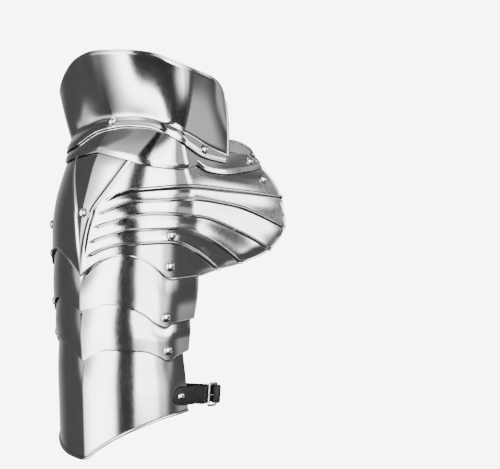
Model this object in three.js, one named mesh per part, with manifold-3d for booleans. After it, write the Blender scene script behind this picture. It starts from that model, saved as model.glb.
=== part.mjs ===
// Polished steel pauldron with an upright neck guard, three lames and an arm strap.
// Millimetres, +Z up. The keel points to -X, the fluted front to -Y, the neck side to +X.
import * as THREE from 'three';
import { mergeVertices } from 'three/addons/utils/BufferGeometryUtils.js';
import Module from 'manifold-3d';

const wasm = await Module();
wasm.setup();

// Driving dimensions
const RISE = 167; // top of the shoulder dome above the arm level
const TUBE = 75; // radius of the arm tube
const REACH = 100; // length of one share of the wings past the middle of the arm
const STEEL = 1.3; // sheet thickness
const NEST = 0.8; // clearance between nested plates at the rivets
const LAP = 1.5; // clearance between plates that are riveted fast over a curve
const NEST_KEEL = 2.2; // clearance between nested plates at the keel
const PLAY = 0.3; // clearance under rivet heads, straps and folds
const SEAT_UP = 150; // height of the shoulder seat, the origin of the part
const SEAT_OUT = -4; // the seat lies this far from the axis of the arm tube, towards the keel

// Rivets
const HEAD_R = 4.4;
const HEAD_H = 2.9;
const TAIL_R = 3.1;
const TAIL_H = 1.0;
const SHANK_R = 2.0;
const HOLE_R = SHANK_R + 0.4;
const RIVET_SIDES = 8;

// Flutes and ridges
const FLUTE_H = 1.9;
const FLUTE_HALF = 2.7;
const RIDGE_H = 1.1;

// Straps and buckle
const STRAP_W = 16.6;
const STRAP_T = 2.4;
const WIRE_R = 1.2;
const FRAME_L = 10; // length of the buckle frame along the strap

// Colours
const STEEL_LOOK = { color: 0xb9bcc0, roughness: 0.16, metalness: 1 };
const RIVET_LOOK = { color: 0xc6c8ca, roughness: 0.2, metalness: 1 };
const LEATHER_LOOK = { color: 0x15130f, roughness: 0.6, metalness: 0 };

// Smooth, never overshooting curve through the rows of a table, read by column name
function curve(rows, from, to) {
  const x = rows.map((r) => r[from]);
  const y = rows.map((r) => r[to]);
  const slope = [];
  for (let i = 0; i < x.length - 1; i++) slope.push((y[i + 1] - y[i]) / (x[i + 1] - x[i]));
  const m = x.map((_, i) => {
    if (i === 0) return slope[0];
    if (i === x.length - 1) return slope[i - 1];
    const [a, b] = [slope[i - 1], slope[i]];
    return a * b <= 0 ? 0 : (2 * a * b) / (a + b);
  });
  return (at) => {
    const q = Math.min(Math.max(at, x[0]), x[x.length - 1]);
    let i = 0;
    while (i < x.length - 2 && q > x[i + 1]) i++;
    const h = x[i + 1] - x[i];
    const t = (q - x[i]) / h;
    const [t2, t3] = [t * t, t * t * t];
    return (2 * t3 - 3 * t2 + 1) * y[i] + (t3 - 2 * t2 + t) * h * m[i]
      + (3 * t2 - 2 * t3) * y[i + 1] + (t3 - t2) * h * m[i + 1];
  };
}
const mix = (a, b, t) => a + (b - a) * t;
const V = (x, y, z) => new THREE.Vector3(x, y, z);
const ease = (t) => { const c = Math.min(Math.max(t, 0), 1); return c * c * (3 - 2 * c); };

// The shoulder form: level sections by height. up is a share of RISE; keel, side (front half)
// and back (back half) are shares of TUBE.
const FORM = [
  { up: -0.90, keel: 0.953, side: 1.020, back: 1.020 },
  { up: -0.36, keel: 0.953, side: 1.027, back: 1.027 },
  { up: -0.12, keel: 0.973, side: 1.047, back: 1.047 },
  { up: 0.12, keel: 0.953, side: 1.080, back: 1.080 },
  { up: 0.33, keel: 0.933, side: 1.080, back: 1.080 },
  { up: 0.48, keel: 0.887, side: 1.040, back: 1.040 },
  { up: 0.63, keel: 0.760, side: 0.967, back: 0.960 },
  { up: 0.75, keel: 0.647, side: 0.900, back: 0.860 },
  { up: 0.84, keel: 0.513, side: 0.853, back: 0.770 },
  { up: 0.91, keel: 0.360, side: 0.800, back: 0.660 },
  { up: 0.96, keel: 0.260, side: 0.707, back: 0.520 },
  { up: 1.02, keel: 0.100, side: 0.400, back: 0.293 },
];
const keelAt = curve(FORM, 'up', 'keel');
const sideAt = curve(FORM, 'up', 'side');
const backAt = curve(FORM, 'up', 'back');
const KEEL_FLAT = 0.22; // how far each side of the keel is flattened towards a crease

// The wings stand off the body towards the neck side. flare and run are shares of TUBE.
const WING = [
  { up: 0.03, flare: 0.13, run: 0.80 },
  { up: 0.18, flare: 0.37, run: 0.80 },
  { up: 0.33, flare: 0.40, run: 1.09 },
  { up: 0.51, flare: 0.40, run: 1.49 },
  { up: 0.62, flare: 0.36, run: 1.55 },
  { up: 0.72, flare: 0.19, run: 1.60 },
  { up: 0.81, flare: 0.08, run: 1.60 },
  { up: 1.02, flare: 0.03, run: 1.60 },
];
const flareAt = curve(WING, 'up', 'flare');
const runAt = curve(WING, 'up', 'run');
const WING_START = -20;

// A point of the form. at: 0 keel, 1 middle of the side, above 1 out along the wing;
// negative on the back. up: share of RISE.
function formPoint(at, up, winged = true) {
  const s = Math.min(Math.abs(at), 1);
  const turn = (s * Math.PI) / 2;
  const over = Math.max(Math.abs(at) - 1, 0) * REACH;
  const x = -keelAt(up) * TUBE * ((1 - KEEL_FLAT) * Math.cos(turn) + KEEL_FLAT * (1 - s)) + over;
  let y = (at < 0 ? backAt(up) : sideAt(up)) * TUBE * Math.sin(turn);
  if (winged) {
    const t = Math.max(x - WING_START, 0) / (runAt(up) * TUBE);
    y += flareAt(up) * TUBE * (1 - Math.exp(-(t ** 1.6)));
  }
  return new THREE.Vector3(x, at < 0 ? y : -y, up * RISE);
}

// Outward normal of the form, from small steps round and up it
function formNormal(at, up, winged = true) {
  const [da, du] = [0.004, 0.003];
  const side = at < 0 ? -1 : 1;
  const a = Math.max(Math.abs(at), da);
  const round = formPoint(side * (a + da), up, winged).sub(formPoint(side * (a - da), up, winged));
  const rise = formPoint(side * a, up + du, winged).sub(formPoint(side * a, up - du, winged));
  const n = new THREE.Vector3().crossVectors(round, rise).multiplyScalar(side).normalize();
  if (a <= da) n.setY(0).normalize();
  return n;
}
const lifted = (at, up, out, winged = true) =>
  formPoint(at, up, winged).addScaledVector(formNormal(at, up, winged), out);

// A closed sheet from a grid of outer points; inner points lie one thickness inside
function sheet(outer, thick = STEEL) {
  const rows = outer.length;
  const cols = outer[0].length;
  const inner = outer.map((row, i) => row.map((p, j) => {
    const a = outer[i][Math.min(j + 1, cols - 1)].clone().sub(outer[i][Math.max(j - 1, 0)]);
    const b = outer[Math.min(i + 1, rows - 1)][j].clone().sub(outer[Math.max(i - 1, 0)][j]);
    return p.clone().addScaledVector(a.cross(b).normalize(), -thick);
  }));
  const flat = [];
  const index = [];
  for (const p of [...outer.flat(), ...inner.flat()]) flat.push(p.x, p.y, p.z);
  const id = (k, i, j) => k * rows * cols + i * cols + j;
  const quad = (a, b, c, d) => index.push(a, b, c, a, c, d);
  for (let i = 0; i < rows - 1; i++) {
    for (let j = 0; j < cols - 1; j++) {
      quad(id(0, i, j), id(0, i, j + 1), id(0, i + 1, j + 1), id(0, i + 1, j));
      quad(id(1, i, j), id(1, i + 1, j), id(1, i + 1, j + 1), id(1, i, j + 1));
    }
    quad(id(0, i, 0), id(0, i + 1, 0), id(1, i + 1, 0), id(1, i, 0));
    quad(id(0, i, cols - 1), id(1, i, cols - 1), id(1, i + 1, cols - 1), id(0, i + 1, cols - 1));
  }
  for (let j = 0; j < cols - 1; j++) {
    quad(id(0, 0, j), id(1, 0, j), id(1, 0, j + 1), id(0, 0, j + 1));
    quad(id(0, rows - 1, j), id(0, rows - 1, j + 1), id(1, rows - 1, j + 1), id(1, rows - 1, j));
  }
  return solid(flat, index);
}
function solid(flat, index) {
  const g = new THREE.BufferGeometry();
  g.setAttribute('position', new THREE.Float32BufferAttribute(flat, 3));
  g.setIndex(index);
  return g;
}

// Joining and cutting closed solids
function toManifold(geometry) {
  const g = geometry.clone();
  for (const name of Object.keys(g.attributes)) if (name !== 'position') g.deleteAttribute(name);
  const m = mergeVertices(g, 1e-4);
  return new wasm.Manifold(new wasm.Mesh({
    numProp: 3,
    vertProperties: new Float32Array(m.attributes.position.array),
    triVerts: new Uint32Array(m.index.array),
  }));
}
function fromManifold(m) {
  const mesh = m.getMesh();
  return solid(Array.from(mesh.vertProperties), Array.from(mesh.triVerts));
}
function cut(geometry, tools) {
  let m = toManifold(geometry);
  for (const tool of tools) m = m.subtract(toManifold(tool));
  return fromManifold(m);
}

const group = new THREE.Group();
group.name = 'pauldron';
function add(name, geometry, look) {
  const g = geometry.index ? geometry : mergeVertices(geometry);
  g.computeVertexNormals();
  const mesh = new THREE.Mesh(g, new THREE.MeshStandardMaterial(look));
  mesh.name = name;
  mesh.position.set(-SEAT_OUT, 0, -SEAT_UP);
  group.add(mesh);
}

// Turned solid along a direction from a list of [radius, height]
function turned(profile, at, axis, sides = RIVET_SIDES) {
  const g = new THREE.LatheGeometry(profile.map(([r, h]) => new THREE.Vector2(r, h)), sides);
  for (const name of ['normal', 'uv']) g.deleteAttribute(name);
  const q = new THREE.Quaternion().setFromUnitVectors(new THREE.Vector3(0, 1, 0), axis);
  g.applyQuaternion(q);
  g.translate(at.x, at.y, at.z);
  const m = mergeVertices(g, 1e-4);
  const keep = [];
  const ix = m.index.array;
  for (let i = 0; i < ix.length; i += 3) {
    const [a, b, c] = [ix[i], ix[i + 1], ix[i + 2]];
    if (a !== b && b !== c && a !== c) keep.push(a, b, c);
  }
  m.setIndex(keep);
  return m;
}
// A rivet through a stack of the given depth, and the hole it needs
function rivet(at, axis, depth) {
  const tail = -depth - PLAY;
  return turned([[0, tail - TAIL_H], [TAIL_R, tail - TAIL_H], [TAIL_R, tail], [SHANK_R, tail],
    [SHANK_R, PLAY], [HEAD_R, PLAY], [HEAD_R * 0.75, PLAY + HEAD_H * 0.7],
    [0, PLAY + HEAD_H]], at, axis);
}
const hole = (at, axis) => turned([[0, -9], [HOLE_R, -9], [HOLE_R, 6], [0, 6]], at, axis);

// Lower edges of the plates. at as in formPoint, up a share of RISE. The lugs carry the pivots.
const LUG = 0.665;
const MAIN_EDGE = [
  { at: 0, up: 0.139 }, { at: 0.08, up: 0.193 }, { at: 0.18, up: 0.239 }, { at: 0.316, up: 0.265 },
  { at: 0.464, up: 0.245 }, { at: 0.6, up: 0.175 }, { at: LUG, up: 0.129 },
  { at: 0.766, up: 0.130 }, { at: 0.986, up: 0.132 },
];
const LAME_1_EDGE = [
  { at: 0, up: -0.048 }, { at: 0.1, up: -0.022 }, { at: 0.216, up: -0.005 },
  { at: 0.341, up: -0.014 }, { at: 0.47, up: -0.054 }, { at: 0.6, up: -0.122 },
  { at: LUG, up: -0.142 }, { at: 0.736, up: -0.117 }, { at: 0.95, up: -0.110 },
];
const LAME_2_EDGE = [
  { at: 0, up: -0.329 }, { at: 0.085, up: -0.291 }, { at: 0.22, up: -0.258 },
  { at: 0.362, up: -0.259 }, { at: 0.504, up: -0.268 }, { at: 0.6, up: -0.297 },
  { at: 0.69, up: -0.329 }, { at: 0.766, up: -0.306 }, { at: 0.9, up: -0.283 },
];
// The lowest edge runs on level at the back instead of rising
const LOWER_EDGE = [
  { at: -0.9, up: -0.845 }, { at: -0.5, up: -0.887 }, { at: -0.28, up: -0.903 },
  { at: -0.1, up: -0.898 }, { at: 0, up: -0.888 }, { at: 0.1, up: -0.832 },
  { at: 0.278, up: -0.744 }, { at: 0.493, up: -0.675 }, { at: 0.673, up: -0.640 },
  { at: 0.9, up: -0.626 },
];
const mainEdge = curve(MAIN_EDGE, 'at', 'up');
const lame1Edge = curve(LAME_1_EDGE, 'at', 'up');
const lame2Edge = curve(LAME_2_EDGE, 'at', 'up');
const lowerEdge = curve(LOWER_EDGE, 'at', 'up');

// Upper edges of the lames, each hidden under the plate above
const LAME_1_TOP = [
  { at: 0, up: 0.255 }, { at: 0.3, up: 0.325 }, { at: 0.5, up: 0.300 }, { at: 0.7, up: 0.240 },
  { at: 1.1, up: 0.205 },
];
const LAME_2_TOP = [
  { at: 0, up: 0.010 }, { at: 0.25, up: 0.054 }, { at: 0.45, up: 0.015 }, { at: LUG, up: -0.036 },
  { at: 1, up: -0.048 },
];
const LOWER_TOP = [
  { at: 0, up: -0.262 }, { at: 0.25, up: -0.200 }, { at: 0.45, up: -0.203 }, { at: LUG, up: -0.225 },
  { at: 1, up: -0.215 },
];
const lame1Top = curve(LAME_1_TOP, 'at', 'up');
const lame2Top = curve(LAME_2_TOP, 'at', 'up');
const lowerTop = curve(LOWER_TOP, 'at', 'up');

// How far a plate is set in under the one above: most at the keel, least at the rivets
function tuck(at) {
  const s = Math.max(0.6 - Math.abs(at), 0) / 0.6;
  return STEEL + NEST + (NEST_KEEL - NEST) * s * s;
}

// Pivots and other rivets. at and up as in formPoint.
const PIVOT_1 = { at: 0.682, up: 0.196 };
const PIVOT_2 = { at: 0.660, up: -0.082 };
const PIVOT_3 = { at: 0.682, up: -0.269 };
const SIDE_RIVET = { at: 0.694, up: 0.363 };
const UPPER_RIVET = { at: 1.875, up: 0.716 };
const CHEST_RIVET = { at: 1.963, up: 0.617 };
const KEEL_RIVET = { at: 0, up: 0.480 };
const STRAP_RIVET = { at: 0.790, up: -0.532 };

const tools = {}; // holes by plate
const bore = (plate, at, axis) => (tools[plate] ??= []).push(hole(at, axis));
function rivetOn(name, place, side, out, depth, plates, winged = true) {
  const at = place.at * side;
  const p = lifted(at, place.up, out, winged);
  const n = formNormal(at, place.up, winged);
  add(name, rivet(p, n, depth), RIVET_LOOK);
  for (const plate of plates) bore(plate, p, n);
}
const PAIR = 2 * STEEL + NEST + PLAY;
const PROUD = 1.5; // rivets that stand on a flute or a curve
const LAPPED = 2 * STEEL + LAP + PLAY;
const UPPER_OUT = STEEL + LAP;
const FLANGE_OUT = 2 * (STEEL + LAP);
for (const [end, side] of [['front', 1], ['back', -1]]) {
  rivetOn(`rivet_pivot_1_${end}`, PIVOT_1, side, 0, PAIR, ['main_plate', 'lame_1']);
  rivetOn(`rivet_pivot_2_${end}`, PIVOT_2, side, 0, PAIR, ['lame_1', 'lame_2'], false);
  rivetOn(`rivet_pivot_3_${end}`, PIVOT_3, side, 0, PAIR, ['lame_2', 'lower_lame'], false);
  rivetOn(`rivet_side_${end}`, SIDE_RIVET, side, PROUD, STEEL + PROUD + PLAY, ['main_plate']);
  rivetOn(`rivet_upper_${end}`, UPPER_RIVET, side, UPPER_OUT, LAPPED, ['main_plate', 'upper_lame']);
  rivetOn(`rivet_chest_${end}`, CHEST_RIVET, side, PROUD, STEEL + PROUD + PLAY, ['main_plate']);
  rivetOn(`rivet_strap_${end}`, STRAP_RIVET, side, STRAP_T + PLAY, STRAP_T + 2 * PLAY + STEEL,
    ['lower_lame', `strap_${end}`], false);
}
rivetOn('rivet_keel', KEEL_RIVET, 1, PROUD, STEEL + PROUD + PLAY, ['main_plate']);

// Main plate: a fan of lines from the keel to the wing edge. Each flute follows one line.
// end: where the line leaves the plate; start: where its flute begins.
const FAN = [
  { end: 2.020, start: 0.40, ridge: 0.42, rows: [
    { at: 0, up: 0.862 }, { at: 0.5, up: 0.802 }, { at: 1, up: 0.784 }, { at: 1.5, up: 0.755 },
    { at: 1.9, up: 0.742 }, { at: 2.02, up: 0.700 },
  ] },
  { end: 2.133, start: 0.169, ridge: 0.115, rows: [
    { at: 0, up: 0.515 }, { at: 0.169, up: 0.551 }, { at: 0.364, up: 0.604 }, { at: 0.835, up: 0.620 },
    { at: 1.471, up: 0.574 }, { at: 2.133, up: 0.508 },
  ] },
  { end: 2.070, start: 0.127, ridge: 0.077, rows: [
    { at: 0, up: 0.430 }, { at: 0.127, up: 0.474 }, { at: 0.416, up: 0.545 }, { at: 0.823, up: 0.551 },
    { at: 1.437, up: 0.491 }, { at: 2.07, up: 0.331 },
  ] },
  { end: 1.810, start: 0.100, ridge: 0.052, rows: [
    { at: 0, up: 0.358 }, { at: 0.1, up: 0.402 }, { at: 0.542, up: 0.481 }, { at: 1.042, up: 0.444 },
    { at: 1.432, up: 0.346 }, { at: 1.81, up: 0.218 },
  ] },
  { end: 1.421, start: 0.070, ridge: 0.034, rows: [
    { at: 0, up: 0.285 }, { at: 0.07, up: 0.321 }, { at: 0.386, up: 0.396 }, { at: 0.709, up: 0.401 },
    { at: 1.072, up: 0.328 }, { at: 1.421, up: 0.171 },
  ] },
  { end: 1.160, start: 0.051, ridge: 0.022, rows: [
    { at: 0, up: 0.208 }, { at: 0.051, up: 0.244 }, { at: 0.314, up: 0.322 }, { at: 0.662, up: 0.330 },
    { at: 0.898, up: 0.272 }, { at: 1.16, up: 0.153 },
  ] },
  { end: 0.986, start: 0.040, ridge: 0.018, rows: MAIN_EDGE },
].map((line) => ({ ...line, up: curve(line.rows, 'at', 'up') }));
const FLUTED = FAN.length - 2;

// Position along a line by column: keel, ridge, flute start, then evenly to the end
const COLUMNS = 19;
function columnAt(line, j) {
  if (j === 0) return 0;
  if (j === 1) return line.ridge * 0.55;
  if (j === 2) return line.ridge;
  if (j === 3) return line.start;
  return mix(line.start, line.end, (j - 3) / (COLUMNS - 3));
}
// Smooth blend across the lines of the fan
function across(values, q) {
  const i = Math.min(Math.floor(q), values.length - 2);
  const t = q - i;
  const v = (k) => values[Math.min(Math.max(k, 0), values.length - 1)];
  const [p0, p1, p2, p3] = [v(i - 1), v(i), v(i + 1), v(i + 2)];
  return p1 + 0.5 * t * (p2 - p0 + t * (2 * p0 - 5 * p1 + 4 * p2 - p3 + t * (3 * (p1 - p2) + p3 - p0)));
}
function mainGrid() {
  const grid = [];
  const steps = FAN.length - 1;
  for (let i = 0; i < steps; i++) {
    for (const place of ['line', 'after', 'middle', 'before']) {
      const row = [];
      for (let j = 0; j <= COLUMNS; j++) {
        const ats = FAN.map((line) => columnAt(line, j));
        const ups = FAN.map((line, k) => line.up(ats[k]));
        const here = formPoint(ats[i], ups[i]);
        const gap = here.distanceTo(formPoint(ats[i + 1], ups[i + 1]));
        const base = Math.min(FLUTE_HALF / gap, 0.32);
        const t = { line: 0, after: base, middle: 0.5, before: 1 - base }[place];
        const grow = ease((j - 3) / 2);
        const crest = place === 'line' && i >= 1 && i <= FLUTED ? FLUTE_H * grow : 0;
        const hollow = place === 'middle' && i >= 1 && i < FLUTED ? -0.35 * grow : 0;
        const ridge = j === 2 ? RIDGE_H * ease((steps - i - t) / 3) : 0;
        row.push(lifted(across(ats, i + t), across(ups, i + t), crest + hollow + ridge));
      }
      grid.push(row);
    }
  }
  const last = FAN[steps];
  grid.push(Array.from({ length: COLUMNS + 1 }, (_, j) => {
    const at = columnAt(last, j);
    return lifted(at, last.up(at), 0);
  }));
  return grid;
}
// The back is the mirror of the front without flutes, on fewer columns
const BACK_COLUMNS = [2, 4, 6, 8, 10, 12, 14, 16, 18, 19];
function backGrid(front) {
  const steps = FAN.length - 1;
  return front.map((row, r) => BACK_COLUMNS.map((j) => {
    const i = Math.floor(r / 4);
    const shares = { 0: 0, 1: 0.2, 2: 0.5, 3: 0.8 };
    const q = Math.min(i + shares[r % 4], steps);
    const ats = FAN.map((line) => columnAt(line, j));
    const ups = FAN.map((line, k) => line.up(ats[k]));
    const ridge = j === 2 ? RIDGE_H * ease((steps - q) / 3) : 0;
    return lifted(-across(ats, q), across(ups, q), ridge);
  }).reverse());
}
const front = mainGrid();
const back = backGrid(front);
const mainOuter = front.map((row, r) => [...back[r], ...row]);
mainOuter.reverse();

// Upper lame: from the neck opening down to a scalloped edge, with a collar past the neck guard
const CUSP = 1.11;
const UPPER_END = 2.014;
const SCALLOP = [
  { at: 0, up: 0.796 }, { at: 0.27, up: 0.766 }, { at: 0.583, up: 0.724 }, { at: 0.9, up: 0.709 },
  { at: CUSP, up: 0.727 }, { at: 1.203, up: 0.689 }, { at: 1.343, up: 0.670 },
  { at: 1.486, up: 0.662 }, { at: 1.787, up: 0.666 }, { at: UPPER_END, up: 0.681 },
];
// The neck edge runs lower on the back. collar: height of the upturned edge.
const NECK = [
  { at: -UPPER_END, up: 0.695, collar: 1 }, { at: -1.9, up: 0.748, collar: 6 },
  { at: -1.75, up: 0.762, collar: 10 }, { at: -1.6, up: 0.772, collar: 12 },
  { at: -1.45, up: 0.776, collar: 7 }, { at: -1.3, up: 0.783, collar: 0.3 },
  { at: -0.95, up: 0.806, collar: 0.3 }, { at: -0.65, up: 0.851, collar: 0.3 },
  { at: -0.55, up: 0.880, collar: 0.3 }, { at: -0.49, up: 0.906, collar: 0.3 },
  { at: -0.42, up: 0.925, collar: 0.3 }, { at: -0.295, up: 0.956, collar: 0.3 },
  { at: -0.15, up: 0.969, collar: 0.3 },
  { at: 0, up: 0.980, collar: 0.3 }, { at: 0.286, up: 0.986, collar: 0.3 },
  { at: 0.5, up: 0.977, collar: 0.3 }, { at: 0.77, up: 0.948, collar: 0.3 },
  { at: 1.08, up: 0.893, collar: 0.3 }, { at: 1.27, up: 0.838, collar: 0.3 },
  { at: 1.45, up: 0.790, collar: 7 }, { at: 1.6, up: 0.770, collar: 12 },
  { at: 1.75, up: 0.762, collar: 10 }, { at: 1.9, up: 0.750, collar: 6 },
  { at: UPPER_END, up: 0.695, collar: 1 },
];
const scallop = curve(SCALLOP, 'at', 'up');
const neck = curve(NECK, 'at', 'up');
const collar = curve(NECK, 'at', 'collar');
const UPPER_STOPS = [0, 0.14, 0.27, 0.4, 0.52, 0.64, 0.77, 0.9, 1.01, CUSP, 1.203, 1.343, 1.486,
  1.64, 1.787, 1.9, 1.97, UPPER_END];
const bothSides = (stops) => [...stops.slice(1).reverse().map((s) => -s), ...stops];
const UPPER_ROWS = 4;
function upperGrid() {
  const rows = [];
  for (let i = 0; i <= UPPER_ROWS + 2; i++) {
    rows.push(bothSides(UPPER_STOPS).map((at) => {
      const a = Math.abs(at);
      const t = Math.min(i / UPPER_ROWS, 1);
      const lip = Math.max(i - UPPER_ROWS, 0) / 2;
      const high = collar(at) * lip;
      const p = lifted(at, mix(scallop(a), neck(at), t) + high / RISE, UPPER_OUT);
      const upright = lifted(at, mix(scallop(a), neck(at), t), UPPER_OUT);
      upright.add(new THREE.Vector3(0.12 * high, Math.sign(at) * -0.25 * high, high));
      p.lerp(upright, ease((collar(at) - 1) / 5));
      return p;
    }));
  }
  return rows;
}

// Lames: bands of the arm tube between an upper and a lower edge
function lameGrid({ top, edge, above, below, endTop, endEdge, rows, stops }) {
  const grid = [];
  for (let i = 0; i <= rows; i++) {
    const v = i / rows;
    grid.push(bothSides(stops).map((c) => {
      const at = c * mix(endEdge, endTop, v);
      const a = Math.abs(at);
      const low = edge(c < 0 && edge !== lowerEdge ? Math.abs(c) * endEdge : c * endEdge);
      const up = mix(low, top(Math.abs(c) * endTop), v);
      const full = above(a) - 1.5 / RISE;
      const none = below(a) + 1.5 / RISE;
      return lifted(at, up, -tuck(at) * ease((up - none) / (full - none)), false);
    }));
  }
  return grid;
}
const stopsTo = (lug) => [0, 0.1, 0.2, 0.31, 0.42, 0.52, 0.62, lug, lug + 0.06, 0.87, 1];
add('lame_1', cut(sheet(lameGrid({
  top: lame1Top, edge: lame1Edge, above: mainEdge, below: lame2Top,
  endTop: 1.04, endEdge: 0.95, rows: 5, stops: stopsTo(LUG / 0.95),
})), tools.lame_1), STEEL_LOOK);
add('lame_2', cut(sheet(lameGrid({
  top: lame2Top, edge: lame2Edge, above: lame1Edge, below: lowerTop,
  endTop: 0.93, endEdge: 0.89, rows: 5, stops: stopsTo(0.69 / 0.89),
})), tools.lame_2), STEEL_LOOK);
add('lower_lame', cut(sheet(lameGrid({
  top: lowerTop, edge: lowerEdge, above: lame2Edge, below: () => -0.52,
  endTop: 0.83, endEdge: 0.88, rows: 6, stops: [0, 0.09, 0.18, 0.3, 0.42, 0.54, 0.66, 0.78, 0.9, 1],
})), tools.lower_lame), STEEL_LOOK);

// Neck guard: a flange on the shoulder, a bend, and a wall flaring out to a turned rim.
// share: -1 back corner, 0 keel, 1 front corner. The base and the flange edge lie on the form;
// out and side of the rim are shares of TUBE.
const BASE = [
  { share: -1, at: -1.52, up: 0.765 }, { share: -0.85, at: -1.26, up: 0.782 },
  { share: -0.7, at: -0.95, up: 0.806 }, { share: -0.56, at: -0.66, up: 0.846 },
  { share: -0.47, at: -0.545, up: 0.874 }, { share: -0.38, at: -0.49, up: 0.896 },
  { share: -0.28, at: -0.40, up: 0.918 }, { share: -0.18, at: -0.285, up: 0.944 },
  { share: -0.09, at: -0.13, up: 0.957 },
  { share: 0, at: 0, up: 0.962 }, { share: 0.2, at: 0.286, up: 0.970 },
  { share: 0.36, at: 0.52, up: 0.962 }, { share: 0.52, at: 0.772, up: 0.930 },
  { share: 0.68, at: 1.084, up: 0.876 }, { share: 0.84, at: 1.29, up: 0.816 },
  { share: 1, at: 1.54, up: 0.754 },
];
const FLANGE = [
  { share: -1, at: -1.48, up: 0.715 }, { share: -0.85, at: -1.15, up: 0.730 },
  { share: -0.7, at: -0.85, up: 0.752 }, { share: -0.56, at: -0.55, up: 0.785 },
  { share: -0.47, at: -0.38, up: 0.808 }, { share: -0.38, at: -0.30, up: 0.835 },
  { share: -0.28, at: -0.245, up: 0.858 }, { share: -0.18, at: -0.16, up: 0.887 },
  { share: -0.09, at: -0.06, up: 0.902 },
  { share: 0, at: 0, up: 0.909 }, { share: 0.2, at: 0.215, up: 0.926 },
  { share: 0.36, at: 0.465, up: 0.921 }, { share: 0.52, at: 0.72, up: 0.885 },
  { share: 0.68, at: 0.98, up: 0.830 }, { share: 0.84, at: 1.2, up: 0.758 },
  { share: 1, at: 1.49, up: 0.718 },
];
const RIM = [
  { share: -1, out: 0.613, side: -1.120, up: 0.958 },
  { share: -0.8, out: 0.293, side: -1.173, up: 1.042 },
  { share: -0.6, out: -0.053, side: -1.107, up: 1.100 },
  { share: -0.45, out: -0.213, side: -0.960, up: 1.156 },
  { share: -0.3, out: -0.373, side: -0.693, up: 1.240 },
  { share: -0.15, out: -0.533, side: -0.360, up: 1.300 },
  { share: 0, out: -0.613, side: 0, up: 1.329 },
  { share: 0.15, out: -0.560, side: 0.360, up: 1.329 },
  { share: 0.3, out: -0.413, side: 0.667, up: 1.317 },
  { share: 0.45, out: -0.253, side: 0.893, up: 1.275 },
  { share: 0.6, out: -0.027, side: 1.053, up: 1.230 },
  { share: 0.8, out: 0.320, side: 1.120, up: 1.183 },
  { share: 0.93, out: 0.533, side: 1.093, up: 1.126 },
  { share: 1, out: 0.627, side: 1.053, up: 1.060 },
];
const flangeAt = curve(FLANGE, 'share', 'at');
const flangeUp = curve(FLANGE, 'share', 'up');
const baseAt = curve(BASE, 'share', 'at');
const baseUp = curve(BASE, 'share', 'up');
const onFlange = (u, t) =>
  lifted(mix(flangeAt(u), baseAt(u), t), mix(flangeUp(u), baseUp(u), t), FLANGE_OUT);
const basePoint = (u) => onFlange(u, 1);
const [rimOut, rimSide, rimUp] = ['out', 'side', 'up'].map((name) => curve(RIM, 'share', name));
const rimPoint = (u) => new THREE.Vector3(rimOut(u) * TUBE, -rimSide(u) * TUBE, rimUp(u) * RISE);
const GUARD_STOPS = [0, 0.09, 0.18, 0.27, 0.36, 0.45, 0.54, 0.63, 0.72, 0.8, 0.88, 0.94, 1];
const WALL_ROWS = 6;
const BELLY = 1;
const TURN_R = 1.6;
function guardGrid() {
  const us = bothSides(GUARD_STOPS);
  const outward = (u) => {
    const d = rimPoint(Math.min(u + 0.01, 1)).sub(rimPoint(Math.max(u - 0.01, -1)));
    return new THREE.Vector3(d.y, -d.x, 0).normalize().multiplyScalar(-1);
  };
  const wall = (u, t) => basePoint(u).lerp(rimPoint(u), t)
    .addScaledVector(outward(u), -BELLY * Math.sin(Math.PI * t));
  const rows = [0, 0.45, 0.92].map((t) => us.map((u) => onFlange(u, t)));
  for (let i = 0; i < WALL_ROWS; i++) {
    rows.push(us.map((u) => wall(u, mix(0.04, 1, i / (WALL_ROWS - 1)))));
  }
  rows.push(us.map((u) => rimPoint(u).addScaledVector(outward(u), TURN_R)
    .add(V(0, 0, TURN_R * 0.6))));
  return rows;
}
// The middle flange rivet holds the guard and the upper lame, the outer two the main plate as well
const THREE_DEEP = LAPPED + LAP + STEEL;
for (const [name, u, depth, plates] of [
  ['front', 0.82, THREE_DEEP, ['haute_piece', 'upper_lame', 'main_plate']],
  ['keel', 0.02, LAPPED, ['haute_piece', 'upper_lame']],
  ['back', -0.8, THREE_DEEP, ['haute_piece', 'upper_lame', 'main_plate']],
]) {
  const p = onFlange(u, 0.55);
  const n = onFlange(u + 0.02, 0.55).sub(p).cross(basePoint(u).sub(p)).normalize();
  p.addScaledVector(n, PLAY);
  add(`rivet_flange_${name}`, rivet(p, n, depth + 2 * PLAY), RIVET_LOOK);
  for (const plate of plates) bore(plate, p, n);
}
add('haute_piece', cut(sheet(guardGrid()), tools.haute_piece), STEEL_LOOK);
add('upper_lame', cut(sheet(upperGrid()), tools.upper_lame), STEEL_LOOK);
add('main_plate', cut(sheet(mainOuter), tools.main_plate), STEEL_LOOK);

// Straps. Heights fall a little towards the buckle. A strap is a band swept along its middle line.
function sweep(points, upright, width, thick) {
  const n = points.length;
  const flat = [];
  const index = [];
  points.forEach((p, i) => {
    const d = points[Math.min(i + 1, n - 1)].clone().sub(points[Math.max(i - 1, 0)]).normalize();
    const w = upright(p);
    w.addScaledVector(d, -w.dot(d)).normalize();
    const side = new THREE.Vector3().crossVectors(w, d).normalize();
    const half = (typeof width === 'function' ? width(i) : width) / 2;
    for (const [a, b] of [[-1, -1], [1, -1], [1, 1], [-1, 1]]) {
      const q = p.clone().addScaledVector(w, a * half).addScaledVector(side, (b * thick) / 2);
      flat.push(q.x, q.y, q.z);
    }
  });
  for (let i = 0; i < n - 1; i++) {
    for (let k = 0; k < 4; k++) {
      const [a, b] = [4 * i + k, 4 * i + ((k + 1) % 4)];
      index.push(a, b + 4, b, a, a + 4, b + 4);
    }
  }
  const e = 4 * (n - 1);
  index.push(0, 1, 2, 0, 2, 3, e, e + 2, e + 1, e, e + 3, e + 2);
  return solid(flat, index);
}
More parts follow.
